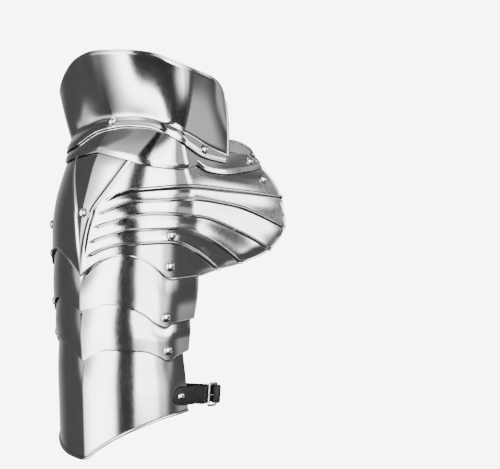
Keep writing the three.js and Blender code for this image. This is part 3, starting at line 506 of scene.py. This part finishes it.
def main_half(side):
    """Outer points of one half, rows from the top line down, columns from the keel to the wing's edge."""
    ats = np.stack([np.interp(COLS, [0, 1, 2, 3], [0, ridge, max(start, ridge + LEAST), end])
                    for end, start, ridge, _ in FAN], 1)
    ups = np.stack([line_up[k](ats[:, k]) for k in range(LINES)], 1)
    ridges = np.broadcast_to([f[2] for f in FAN], ats.shape)
    mid = form_point(ats, ups)
    gaps = np.linalg.norm(mid[:, 1:] - mid[:, :-1], axis=-1)       # column by interval
    run = np.concatenate([np.zeros((1, LINES)),
                          np.cumsum(np.linalg.norm(np.diff(mid, axis=0), axis=-1), axis=0)])
    past = run - run[np.searchsorted(COLS, 2)]                      # mm past the flute start
    grow = ease(past / FLUTE_GROW)
    near = np.linspace(0, 1, 5 * DENSE + 1)
    rows = []
    for i in range(LINES - 1):
        base = np.minimum(FLUTE_HALF * FLUTE_ROOM / gaps[:, i], FLUTE_SHARE)
        inner = np.linspace(0, 1, 6 * DENSE + 2)[1:-1]
        for kind, ts in (("after", near), ("middle", inner), ("before", near)):
            for w in ts:
                if kind == "after":
                    t = base * w
                elif kind == "before":
                    if w == 1 and i < LINES - 2:
                        continue
                    t = 1 - base * (1 - w)
                else:
                    t = base + (1 - 2 * base) * w
                q = i + t
                at = across(ats, q)
                up = across(ups, q)
                lift = np.zeros(len(t))
                for line, dist in ((i, t * gaps[:, i]), (i + 1, (1 - t) * gaps[:, i])):
                    if 1 <= line <= FLUTED and side > 0:
                        lift += FLUTE_H * grow[:, line] * hump(dist / FLUTE_HALF) ** FLUTE_SHARP
                if 1 <= i < FLUTED and side > 0:
                    lift -= HOLLOW * grow[:, i] * np.sin(math.pi * t) ** 2
                fade = ease((LINES - 1 - q) / RIDGE_FADE)
                off_ridge = np.abs(at - across(ridges, q)) * TUBE * RIDGE_TURN
                lift += RIDGE_H * fade * hump(off_ridge / RIDGE_HALF)
                rows.append(lifted(side * at, up, lift))
    return np.array(rows)


front = main_half(1)
back = main_half(-1)
plate = np.concatenate([back[:, :0:-1], front], axis=1)[::-1]
s = Shape()
s.plate(plate)
# rolled edge along the wing ends and under the wings
for half in (front, back):
    s.tube(half[:, -1], WING_ROLL, 8)
under = np.concatenate([back[-1, :0:-1], front[-1]])
s.tube(under - np.array([0, 0, UNDER_DROP]), UNDER_ROLL, 8)
s.object("main_plate_look", "shoulder", PLATE, "plate_steel", ["main_plate"])

# Upper lame
CUSP, UPPER_END = 1.11, 2.014
SCALLOP_A = [(0, 0.796), (0.27, 0.766), (0.583, 0.724), (0.9, 0.709), (CUSP, 0.727)]
SCALLOP_B = [(CUSP, 0.727), (1.203, 0.689), (1.343, 0.670), (1.486, 0.662), (1.787, 0.666),
             (UPPER_END, 0.681)]
# at, up, height of the collar in mm
NECK = [
    (-UPPER_END, 0.695, 1), (-1.9, 0.748, 6), (-1.75, 0.762, 10), (-1.6, 0.772, 12), (-1.45, 0.776, 7),
    (-1.3, 0.783, 0.3), (-0.95, 0.806, 0.3), (-0.65, 0.851, 0.3), (-0.55, 0.880, 0.3),
    (-0.49, 0.906, 0.3), (-0.42, 0.925, 0.3), (-0.295, 0.956, 0.3), (-0.15, 0.969, 0.3),
    (0, 0.980, 0.3), (0.286, 0.986, 0.3), (0.5, 0.977, 0.3), (0.77, 0.948, 0.3), (1.08, 0.893, 0.3),
    (1.27, 0.838, 0.3), (1.45, 0.790, 7), (1.6, 0.770, 12), (1.75, 0.762, 10), (1.9, 0.750, 6),
    (UPPER_END, 0.695, 1),
]
scallop_a, scallop_b = curve(SCALLOP_A), curve(SCALLOP_B)
neck, collar = curve(NECK, 0, 1), curve(NECK, 0, 2)


def scallop(a):
    """Lower edge, with a cusp between its two scallops."""
    return np.where(a < CUSP, scallop_a(a), scallop_b(a))


stops = np.unique(np.concatenate([[0.008], np.linspace(0, CUSP, 50 * DENSE),
                                  np.linspace(CUSP, UPPER_END, 40 * DENSE)]))
stops = np.concatenate([-stops[:0:-1], stops])
rows = []
UPPER_ROWS, LIP_ROWS = 26, 8
# Collar: its lean out and to the middle for each mm of height, and its bead's radius
COLLAR_OUT, COLLAR_SIDE, COLLAR_BEAD = 0.12, 0.25, 1.1
for i in range(UPPER_ROWS + LIP_ROWS + 1):
    t = min(i / UPPER_ROWS, 1)
    lip = max(i - UPPER_ROWS, 0) / LIP_ROWS
    high = collar(stops) * lip
    base_up = mix(scallop(np.abs(stops)), neck(stops), t)
    out = UPPER_OUT - snug((base_up - scallop(np.abs(stops))) * RISE)
    p = lifted(stops, base_up + high / RISE, out)
    upright = lifted(stops, base_up, out)
    upright = upright + np.stack([COLLAR_OUT * high, -np.sign(stops) * COLLAR_SIDE * high, high], -1)
    w = ease((collar(stops) - 1) / 5)[:, None]
    rows.append(p * (1 - w) + upright * w)
upper = np.array(rows)
s = Shape()
s.plate(upper)
s.tube(upper[-1], COLLAR_BEAD, 8)
s.object("upper_lame_look", "shoulder", PLATE, "plate_steel", ["upper_lame"])


# Lames
# Share of the way in over which a lame's bend is soft, mm left straight at both ends, rolled lower rim
SOFT_TUCK, CLEAR, LOWER_ROLL = 0.6, 1.5, 1.5
# Height below which the lower lame is straight
LOWER_STRAIGHT = -0.52


def straight_below(at):
    return np.full(np.shape(at), LOWER_STRAIGHT)


def lame(top, edge, above, below, end_top, end_edge, name, low_edge=False):
    """A hanging plate that moves in by its tuck on the way up, to lie under the plate above."""
    c = np.concatenate([[0, 0.008], np.linspace(0.03, 1, 46 * DENSE)])
    c = np.concatenate([-c[:0:-1], c])
    rows = []
    count = 26 * DENSE
    for i in range(count + 1):
        v = i / count
        at = c * mix(end_edge, end_top, v)
        low = edge(c * end_edge) if low_edge else edge(np.abs(c) * end_edge)
        up = mix(low, top(np.abs(c) * end_top), v)
        full = above(np.abs(at)) - CLEAR / RISE
        none = below(np.abs(at)) + CLEAR / RISE
        t = np.clip((up - none) / (full - none), 0, 1)
        slope = np.where(t < SOFT_TUCK, t * t / (2 * SOFT_TUCK), t - SOFT_TUCK / 2)
        inset = slope / (1 - SOFT_TUCK / 2)
        rows.append(lifted(at, up, -tuck(at) * inset, False))
    g = np.array(rows)
    s = Shape()
    s.plate(g)
    if low_edge:
        s.tube(g[0], LOWER_ROLL, 10)
    return s.object(name + "_look", name, PLATE, "plate_steel", [name])


lame(lame_1_top, lame_1_edge, main_edge, lame_2_top, 1.04, 0.95, "lame_1")
lame(lame_2_top, lame_2_edge, lame_1_edge, lower_top, 0.93, 0.89, "lame_2")
lame(lower_top, lower_edge, lame_2_edge, straight_below, 0.83, 0.88, "lower_lame", True)

# Neck guard
# share, at, up
BASE = [
    (-1, -1.52, 0.765), (-0.85, -1.26, 0.782), (-0.7, -0.95, 0.806), (-0.56, -0.66, 0.846),
    (-0.47, -0.545, 0.874), (-0.38, -0.49, 0.896), (-0.28, -0.40, 0.918), (-0.18, -0.285, 0.944),
    (-0.09, -0.13, 0.957), (0, 0, 0.962), (0.2, 0.286, 0.970), (0.36, 0.52, 0.962),
    (0.52, 0.772, 0.930), (0.68, 1.084, 0.876), (0.84, 1.29, 0.816), (1, 1.54, 0.754),
]
FLANGE = [
    (-1, -1.48, 0.715), (-0.85, -1.15, 0.730), (-0.7, -0.85, 0.752), (-0.56, -0.55, 0.785),
    (-0.47, -0.38, 0.808), (-0.38, -0.30, 0.835), (-0.28, -0.245, 0.858), (-0.18, -0.16, 0.887),
    (-0.09, -0.06, 0.902), (0, 0, 0.909), (0.2, 0.215, 0.926), (0.36, 0.465, 0.921),
    (0.52, 0.72, 0.885), (0.68, 0.98, 0.830), (0.84, 1.2, 0.758), (1, 1.49, 0.718),
]
# share, out, side, up
RIM = [
    (-1, 0.613, -1.120, 0.958), (-0.8, 0.293, -1.173, 1.042), (-0.6, -0.053, -1.107, 1.100),
    (-0.45, -0.213, -0.960, 1.156), (-0.3, -0.373, -0.693, 1.240), (-0.15, -0.533, -0.360, 1.300),
    (0, -0.613, 0, 1.329), (0.15, -0.560, 0.360, 1.329), (0.3, -0.413, 0.667, 1.317),
    (0.45, -0.253, 0.893, 1.275), (0.6, -0.027, 1.053, 1.230), (0.8, 0.320, 1.120, 1.183),
    (0.93, 0.533, 1.093, 1.126), (1, 0.627, 1.053, 1.060),
]
SOFT_SHARE = 0.035
base_at, base_up, flange_at, flange_up = (
    softened(curve(t, 0, k), -1, 1, SOFT_SHARE) for t in (BASE, FLANGE) for k in (1, 2))
rim = [softened(curve(RIM, 0, k), -1, 1, SOFT_SHARE) for k in (1, 2, 3)]


def on_flange(u, t):
    """Point of the flange, from its lower edge at t 0 to the wall's foot at t 1."""
    return lifted(mix(flange_at(u), base_at(u), t), mix(flange_up(u), base_up(u), t),
                  FLANGE_OUT - snug(t * (base_up(u) - flange_up(u)) * RISE))


def rim_point(u):
    return np.stack([rim[0](u) * TUBE, -rim[1](u) * TUBE, rim[2](u) * RISE], -1)


U = np.linspace(-1, 1, 110 * DENSE + 1)
# Wall: how far it sinks in its middle; turned rim: out, up and its bead's radius, all in mm
BELLY, RIM_OUT, RIM_UP, RIM_BEAD = 1.0, 1.8, 1.2, 1.3
# The bend starts at this share of the flange and ends at this share of the wall
FLANGE_END, WALL_START, FLANGE_ROWS = 0.86, 0.07, 13
d = rim_point(np.minimum(U + 0.01, 1)) - rim_point(np.maximum(U - 0.01, -1))
outward = unit(np.stack([-d[:, 1], d[:, 0], np.zeros(len(U))], -1))
foot = on_flange(U, np.ones(len(U)))
top = rim_point(U)
section = []
for t in np.linspace(0, FLANGE_END, FLANGE_ROWS):
    section.append(on_flange(U, np.full(len(U), t)))


def wall(t):
    return foot * (1 - t) + top * t - outward * BELLY * math.sin(math.pi * t)


# bend from the flange into the wall
knee_a = on_flange(U, np.full(len(U), FLANGE_END))
knee_b = wall(WALL_START)
for t in np.linspace(0, 1, 8)[1:-1]:
    section.append(knee_a * (1 - t) ** 2 + foot * 2 * t * (1 - t) + knee_b * t * t)
for t in np.linspace(WALL_START, 1, 26):
    section.append(wall(t))
# turned rim
for t in np.linspace(0, 1, 6)[1:]:
    a = t * math.pi * 0.5
    section.append(top + outward * RIM_OUT * (1 - math.cos(a)) + np.array([0, 0, RIM_UP]) * math.sin(a))
guard = np.array(section)
s = Shape()
s.plate(guard)
# bead up one end from the bend, along the rim and down the other end
rise = guard[FLANGE_ROWS + 1:]
s.tube(np.concatenate([rise[:, 0], rise[-1, 1:-1], rise[::-1, -1]]), RIM_BEAD, 10)
s.object("haute_piece_look", "shoulder", PLATE, "plate_steel", ["haute_piece"])
THREE_DEEP = LAPPED + LAP + STEEL
FLANGE_MID = 0.55      # row of the flange's rivets
for name, u, depth in (("front", 0.82, THREE_DEEP), ("keel", 0.02, LAPPED), ("back", -0.8, THREE_DEEP)):
    u1, u2 = np.array([u]), np.array([u + 0.02])
    t = np.array([FLANGE_MID])
    p = on_flange(u1, t)[0]
    n = unit(np.cross(on_flange(u2, t)[0] - p, on_flange(u1, np.array([1.0]))[0] - p))
    s = Shape()
    rivet(s, p + n * PLAY, n, depth + 2 * PLAY)
    s.object(f"rivet_flange_{name}_look", "shoulder", FITTING, "rivet_steel", [f"rivet_flange_{name}"])

# Straps and buckle
# A strap's middle above the lame, and the step from one strap layer to the next
LEVEL_0, LEVEL_1 = PLAY + STRAP_T / 2, STRAP_T + PLAY
buckle = np.array([0.293, -0.993, -1.313]) * TUBE
off_plate = np.array([0, -1.021, -1.244]) * TUBE
along = unit(np.array([19, 3.6, -3.2]))
upright = unit(np.array([0, 0, 1]) - along * along[2])
outer = np.cross(along, upright)


def local(a, w, o):
    """Point a along the strap, w across it and o out, in mm from the buckle."""
    return buckle + along * a + upright * w + outer * o


def on_lame(at):
    """Point of a strap's middle line where it lies on the lower lame."""
    up = mix(-0.526, -0.546, (abs(at) - 0.7) / 0.2)
    return lifted(np.array(at), np.array(up), LEVEL_0, False)


def smooth(points, count):
    """Centripetal spline through the points."""
    p = np.array(points, float)
    p = np.concatenate([[2 * p[0] - p[1]], p, [2 * p[-1] - p[-2]]])
    out = []
    for i in range(1, len(p) - 2):
        k = [0.0]
        for j in range(3):
            k.append(k[-1] + max(np.linalg.norm(p[i + j] - p[i + j - 1]) ** 0.5, 1e-6))
        for t in np.linspace(k[1], k[2], 14, endpoint=False):
            a1 = (k[1] - t) / (k[1] - k[0]) * p[i - 1] + (t - k[0]) / (k[1] - k[0]) * p[i]
            a2 = (k[2] - t) / (k[2] - k[1]) * p[i] + (t - k[1]) / (k[2] - k[1]) * p[i + 1]
            a3 = (k[3] - t) / (k[3] - k[2]) * p[i + 1] + (t - k[2]) / (k[3] - k[2]) * p[i + 2]
            b1 = (k[2] - t) / (k[2] - k[0]) * a1 + (t - k[0]) / (k[2] - k[0]) * a2
            b2 = (k[3] - t) / (k[3] - k[1]) * a2 + (t - k[1]) / (k[3] - k[1]) * a3
            out.append((k[2] - t) / (k[2] - k[1]) * b1 + (t - k[1]) / (k[2] - k[1]) * b2)
    out.append(p[-2])
    out = np.array(out)
    run = np.concatenate([[0], np.cumsum(np.linalg.norm(np.diff(out, axis=0), axis=1))])
    even = np.linspace(0, run[-1], count)
    return np.stack([np.interp(even, run, out[:, c]) for c in range(3)], 1)


def across_strap(p):
    """Direction of the strap's width: the buckle's own near it, upright elsewhere."""
    d = np.linalg.norm(p - buckle, axis=-1)
    t = ease(d / 30 - 0.6)[:, None]
    return upright * (1 - t) + np.array([0, 0, 1.0]) * t


# Radius of a rounded tip in strap widths, and of a strap's rounded edge in mm
TIP_ROUND, SIDE_ROUND = 0.42, 0.5


def strap(path, name, nodes, tips):
    """A leather band with rounded edges and rounded tips."""
    d = unit(np.gradient(path, axis=0))
    w = across_strap(path)
    w = unit(w - d * (w * d).sum(-1, keepdims=True))
    n = np.cross(w, d)
    run = np.concatenate([[0], np.cumsum(np.linalg.norm(np.diff(path, axis=0), axis=1))])
    half = np.full(len(path), STRAP_W / 2)
    r = STRAP_W * TIP_ROUND
    for dist, on in ((run, tips[0]), (run[-1] - run, tips[1])):
        if on:
            x = np.clip(1 - dist / r, 0, 1)
            half = np.minimum(half, STRAP_W / 2 - r + np.sqrt(np.maximum(r * r - (x * r) ** 2, 0)) + 0.01)
    e, h = SIDE_ROUND, STRAP_T / 2
    section = [(-1, -h + e, 0), (-1, h - e, 0), (-1, h, e), (1, h, -e), (1, h - e, 0), (1, -h + e, 0),
               (1, -h, -e), (-1, -h, e)]
    g = np.stack([path + w * (half * sx + ins)[:, None] + n * off for sx, off, ins in section], 1)
    s = Shape()
    s.grid(g, wrap=True)
    k = len(section)
    s.f.append(tuple(range(k))[::-1])
    s.f.append(tuple(s.n - k + j for j in range(k)))
    return s.object(name, "lower_lame", LEATHER, "leather", nodes, sharp=50)


# The back strap's run round the inside of the arm opening: out, side, up, in radii of the form
ROUND_ARM = [
    (0.440, 0.945, -1.352), (0.487, 0.845, -1.375), (0.510, 0.690, -1.400), (0.525, 0.453, -1.430),
    (0.493, 0.160, -1.447), (0.400, -0.187, -1.433), (0.253, -0.533, -1.387), (0.080, -0.840, -1.313),
    (-0.053, -0.991, -1.251),
]
round_arm = [np.array([o, -sd, u]) * TUBE for o, sd, u in ROUND_ARM]
back_path = smooth([local(FRAME_L / 2 + 3, 0, LEVEL_1), *round_arm,
                    *map(on_lame, (-0.88, -0.83, -0.78, -0.735))], 150)
d = np.gradient(back_path, axis=0)
inset = unit(np.cross(across_strap(back_path), d))
tail = (back_path + inset * (LEVEL_1 + PLAY))[6:32:3]
front_path = smooth([*map(on_lame, (0.735, 0.78, 0.83, 0.88)), off_plate, local(-12, 0, 0),
                     local(0, 0, 0), local(5, 0, 0), *tail], 110)
strap(front_path, "strap_front_look", ["strap_front"], (True, True))
# The hinge bar's place along the strap, the fold's radius round it, and the heights out of the hinge
# bar, of the bar under the tongue's tip and of the doubled-back tail
HINGE = FRAME_L / 2
FOLD_R = WIRE_R + 2.5 * PLAY + STRAP_T / 2
HINGE_OUT = LEVEL_1 + FOLD_R
BAR_OUT = STRAP_T / 2 + PLAY + WIRE_R
TAIL_OUT = LEVEL_1 * 2 + PLAY
fold = [local(HINGE + 6.5, 0, TAIL_OUT), local(HINGE + 4, 0, TAIL_OUT + 1.2),
        local(HINGE + 2, 0, TAIL_OUT + 2.6)]
for t in np.linspace(math.pi / 2, 1.5 * math.pi, 13):
    fold.append(local(HINGE + FOLD_R * math.cos(t), 0, HINGE_OUT + FOLD_R * math.sin(t)))
back_line = np.concatenate([np.array(fold), back_path])
strap(back_line, "strap_back_look", ["strap_back"], (False, True))

FRAME_HALF = STRAP_W / 2 + 3 * PLAY + WIRE_R
CORNER = 1.6
points = []
for cs, cw, start in ((1, 1, 0), (-1, 1, 1), (-1, -1, 2), (1, -1, 3)):
    for i in range(9):
        t = math.pi / 2 * (start + i / 8)
        a = cs * (FRAME_L / 2 - CORNER) + CORNER * math.cos(t)
        w = cw * (FRAME_HALF - CORNER) + CORNER * math.sin(t)
        points.append(local(a, w, mix(BAR_OUT, HINGE_OUT, a / FRAME_L + 0.5)))
s = Shape()
s.tube(points, WIRE_R, 12, closed=True, up=outer)
s.object("buckle_frame_look", "lower_lame", FITTING, "rivet_steel", ["buckle_frame"])
s = Shape()
EYE_R, EYE_IN, PIN_R = 2.6, WIRE_R + 0.2, 0.85
s.turned([(EYE_IN, -1.6), (EYE_R - 0.3, -1.6), (EYE_R, -1.2), (EYE_R, 1.2), (EYE_R - 0.3, 1.6),
          (EYE_IN, 1.6), (EYE_IN, -1.6)], local(HINGE, 0, HINGE_OUT), upright)
rest = BAR_OUT + WIRE_R + 0.1 + PIN_R
s.tube([local(HINGE - EYE_IN - 0.6, 0, HINGE_OUT), local(0, 0, mix(HINGE_OUT, rest, 0.55)),
        local(-HINGE, 0, rest), local(-HINGE - 1.4, 0, rest - 0.3), local(-HINGE - 2.6, 0, rest - 0.9)],
       [PIN_R, PIN_R, PIN_R, PIN_R * 0.9, PIN_R * 0.5], 12, up=outer)
s.object("buckle_tongue_look", "lower_lame", FITTING, "rivet_steel", ["buckle_tongue"])


# Studio
# The room as the steel sees it: soft panels hung one over the other on grey walls. Azimuth from and
# to, elevation from and to, level from 0 black to 1 white, soft edges in azimuth and in elevation.
WALLS = 0.36
PANELS = [
    (-200, 200, -100, -38, 0.26, 10, 16),      # dim ground
    (65, 165, -30, 100, 0.60, 40, 30),         # side wall
    (-200, 200, 52, 100, 0.48, 10, 14),        # ceiling
    (-144, -60, -24, 64, 0.66, 14, 22),        # glow beside the large softbox
    (-122, -80, -54, 44, 0.86, 30, 18),        # large softbox, its dimmer rim
    (-112, -81, -50, 40, 0.96, 16, 16),        # large softbox
    (-92, -14, -70, -23, 0.22, 10, 6),         # low dark board
    (-50, -12, -21, 4, 0.76, 14, 8),           # second softbox, its fading side
    (-60, -27, -21, 4, 0.94, 9, 8),            # second softbox, lower part
    (-60, 1, 0, 47, 0.90, 10, 14),             # second softbox, upper part
    (-56, -12, 3, 36, 0.97, 12, 14),           # its middle
    (-80, -60, -21, 100, 0.00, 5, 10),         # black flag between the softboxes
    (2, 30, 13, 48, 0.62, 12, 8),              # grey board
    (28, 42, 1, 26, 0.93, 6, 8),               # small softbox
    (47, 62, -36, 28, 0.60, 6, 10),            # pale board
    (4, 62, -36, -17, 0.64, 14, 10),           # pale board below it
]
# radiance = DARKEST * exp(CONTRAST * level); the camera sees an even SEEN instead
DARKEST, CONTRAST, SEEN = 0.0072, 7.4, 7.5
FLOOR_GLOW = 0.9
world = bpy.data.worlds.new("studio")
bpy.context.scene.world = world
world.use_nodes = True
wt = world.node_tree
wt.nodes.clear()


def node(kind, inputs=(), **settings):
    """A node of the room's shader, with numbers or links on its first inputs."""
    n = wt.nodes.new(kind)
    for key, value in settings.items():
        setattr(n, key, value)
    for i, value in enumerate(inputs):
        if isinstance(value, (int, float)):
            n.inputs[i].default_value = value
        elif value is not None:
            wt.links.new(value, n.inputs[i])
    return n


direction = node("ShaderNodeTexCoord").outputs["Generated"]
xyz = node("ShaderNodeSeparateXYZ", (direction,)).outputs
minus_y = node("ShaderNodeMath", (xyz["Y"], -1), operation="MULTIPLY").outputs[0]
turn = node("ShaderNodeMath", (xyz["X"], minus_y), operation="ARCTAN2").outputs[0]
azimuth = node("ShaderNodeMath", (turn,), operation="DEGREES").outputs[0]
rise = node("ShaderNodeMath", (xyz["Z"],), operation="ARCSINE").outputs[0]
elevation = node("ShaderNodeMath", (rise,), operation="DEGREES").outputs[0]


def inside(value, start, end, soft):
    """1 between start and end, 0 outside, with soft edges."""
    up, down = (node("ShaderNodeMapRange", (value, at - soft / 2, at + soft / 2, *reach),
                     interpolation_type="SMOOTHSTEP").outputs[0]
                for at, reach in ((start, (0, 1)), (end, (1, 0))))
    return node("ShaderNodeMath", (up, down), operation="MULTIPLY").outputs[0]


level = WALLS
for az_from, az_to, el_from, el_to, shade, soft_az, soft_el in PANELS:
    sides = inside(azimuth, az_from, az_to, soft_az), inside(elevation, el_from, el_to, soft_el)
    mask = node("ShaderNodeMath", sides, operation="MULTIPLY").outputs[0]
    level = node("ShaderNodeMix", (mask, None, level, shade), data_type="FLOAT").outputs[0]
power = node("ShaderNodeMath", (level, CONTRAST), operation="MULTIPLY").outputs[0]
power = node("ShaderNodeMath", (power,), operation="EXPONENT").outputs[0]
power = node("ShaderNodeMath", (power, DARKEST), operation="MULTIPLY").outputs[0]
dim = node("ShaderNodeBackground", (None, power))
pale = node("ShaderNodeBackground", (None, SEEN))
for shade in (dim, pale):
    shade.inputs["Color"].default_value = (1, 1, 1, 1)
seen = node("ShaderNodeLightPath").outputs["Is Camera Ray"]
pick = node("ShaderNodeMixShader", (seen, dim.outputs[0], pale.outputs[0]))
node("ShaderNodeOutputWorld", (pick.outputs[0],))

# Plain pale floor, seen by the camera and left out of the steel's reflections
me = bpy.data.meshes.new("floor")
FLOOR_Z, FLOOR_R, FLOOR_SIDES = -1.3, 2.2, 96
me.from_pydata([(FLOOR_R * math.cos(t), FLOOR_R * math.sin(t), FLOOR_Z)
                for t in np.arange(FLOOR_SIDES) * 2 * math.pi / FLOOR_SIDES],
               [], [tuple(range(FLOOR_SIDES))])
floor = bpy.data.objects.new("floor", me)
bpy.context.scene.collection.objects.link(floor)
mat = bpy.data.materials.new("pale_floor")
nt, bsdf = nodes_of(mat)
noise = nt.nodes.new("ShaderNodeTexNoise")
noise.inputs["Scale"].default_value = 3
ramp = nt.nodes.new("ShaderNodeValToRGB")
two_stops(ramp, (0, (0.86, 0.86, 0.86)), (1, (0.90, 0.90, 0.90)))
nt.links.new(noise.outputs["Fac"], ramp.inputs["Fac"])
nt.links.new(ramp.outputs["Color"], bsdf.inputs["Base Color"])
nt.links.new(ramp.outputs["Color"], bsdf.inputs["Emission Color"])
bsdf.inputs["Emission Strength"].default_value = FLOOR_GLOW * SEEN
bsdf.inputs["Roughness"].default_value = 0.9
me.materials.append(mat)
floor.visible_glossy = floor.visible_diffuse = False

# Camera at the photograph's angle
CAM_AZ, CAM_EL, CAM_AT = -57.3, 8.0, (-0.68544, -0.57851, 0.0280)
FOCAL, PHOTO_W, SENSOR = 940.0, 500, 36
cam_data = bpy.data.cameras.new("camera")
cam_data.sensor_width = SENSOR
cam_data.lens = FOCAL * SENSOR / PHOTO_W
cam_data.clip_end = 100
cam = bpy.data.objects.new("camera", cam_data)
az, el = math.radians(CAM_AZ), math.radians(CAM_EL)
away = Vector((math.sin(az) * math.cos(el), -math.cos(az) * math.cos(el), math.sin(el)))
cam.rotation_mode = "QUATERNION"
cam.rotation_quaternion = away.to_track_quat("Z", "Y")
cam.location = CAM_AT
bpy.context.scene.collection.objects.link(cam)
bpy.context.scene.camera = cam
